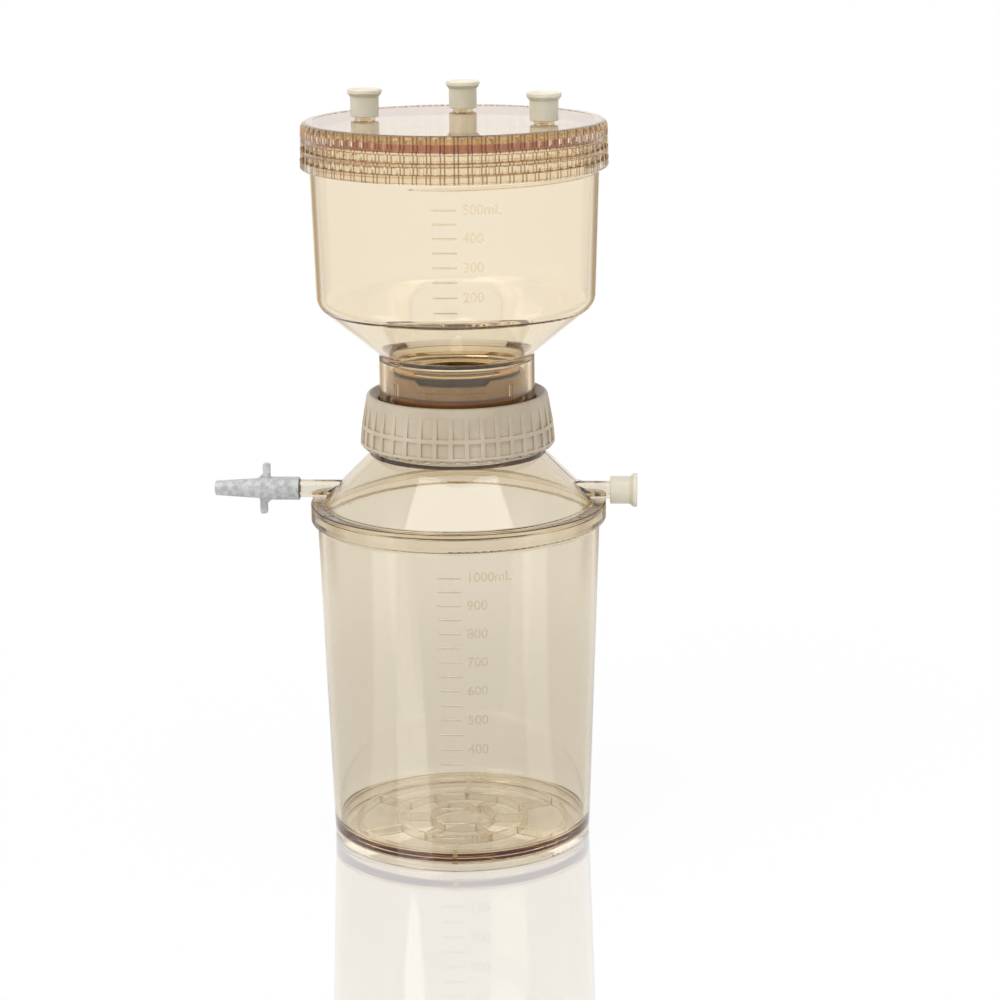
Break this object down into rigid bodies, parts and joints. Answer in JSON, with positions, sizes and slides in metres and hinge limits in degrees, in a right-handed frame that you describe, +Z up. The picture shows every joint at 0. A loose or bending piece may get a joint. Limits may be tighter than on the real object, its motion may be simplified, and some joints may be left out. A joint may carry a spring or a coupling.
{
  "type": "vacuum filtration unit",
  "caption": "Clear amber funnel chamber with a ported screw lid, clamped by a lock ring on a graduated vacuum receiver with two side arms.",
  "frame": {"origin": "centre of the receiver's foot, on the surface it stands on, on the unit's round axis", "axes": "+Z up along the round axis; +X towards the capped side arm, -X towards the tubing adapter; -Y is the graduated front"},
  "size_m": [0.1707, 0.1214, 0.3046],
  "materials": {
    "jar_plastic": "clear amber, moulded smooth",
    "chamber_plastic": "clear amber, moulded smooth",
    "plate_plastic": "translucent amber, moulded smooth",
    "red_silicone": "satin",
    "membrane": "matte",
    "dark_rubber": "satin",
    "putty_plastic": "satin, opaque",
    "cap_plastic": "translucent, satin",
    "adapter_plastic": "translucent grey, satin"
  },
  "bodies": {
    "receiver": {"receiver_jar": "jar_plastic", "receiver_shoulder": "jar_plastic"},
    "chamber": {"filter_chamber": "chamber_plastic", "support_plate": "plate_plastic", "plate_o_ring": "red_silicone", "membrane_filter": "membrane", "membrane_gasket": "dark_rubber"},
    "ring": {"lock_ring": "putty_plastic"},
    "lid_seal": {"lid_gasket": "red_silicone"},
    "lid": {"chamber_lid": "chamber_plastic"},
    "left_cap": {"port_cap_left": "cap_plastic"},
    "back_cap": {"port_cap_back": "cap_plastic"},
    "right_cap": {"port_cap_right": "cap_plastic"},
    "arm_cap": {"side_arm_cap": "cap_plastic"},
    "adapter": {"tubing_adapter": "adapter_plastic"}
  },
  "joints": [
    {"name": "chamber_lift", "type": "slide", "parent": "receiver", "child": "chamber", "axis": [0, 0, 1], "range_m": [0, 0.005]},
    {"name": "lock_ring_turn", "type": "hinge", "parent": "chamber", "child": "ring", "pos_m": [0, 0, 0.174], "axis": [0, 0, 1], "range_deg": [0, 360]},
    {"name": "lid_lift", "type": "slide", "parent": "chamber", "child": "lid_seal", "axis": [0, 0, 1], "range_m": [0, 0.005]},
    {"name": "lid_turn", "type": "hinge", "parent": "lid_seal", "child": "lid", "pos_m": [0, 0, 0.2898], "axis": [0, 0, 1], "range_deg": [0, 360]},
    {"name": "left_cap_pull", "type": "slide", "parent": "lid", "child": "left_cap", "axis": [0, 0, 1], "range_m": [0, 0.012]},
    {"name": "back_cap_pull", "type": "slide", "parent": "lid", "child": "back_cap", "axis": [0, 0, 1], "range_m": [0, 0.012]},
    {"name": "right_cap_pull", "type": "slide", "parent": "lid", "child": "right_cap", "axis": [0, 0, 1], "range_m": [0, 0.012]},
    {"name": "arm_cap_pull", "type": "slide", "parent": "receiver", "child": "arm_cap", "axis": [1, 0, 0], "range_m": [0, 0.012]},
    {"name": "adapter_pull", "type": "slide", "parent": "receiver", "child": "adapter", "axis": [-1, 0, 0], "range_m": [0, 0.012]}
  ],
  "couplings": [
    {"joint": "chamber_lift", "follows": "lock_ring_turn", "m_per_rad": 0.00079577},
    {"joint": "lid_lift", "follows": "lid_turn", "m_per_rad": 0.00079577}
  ]
}
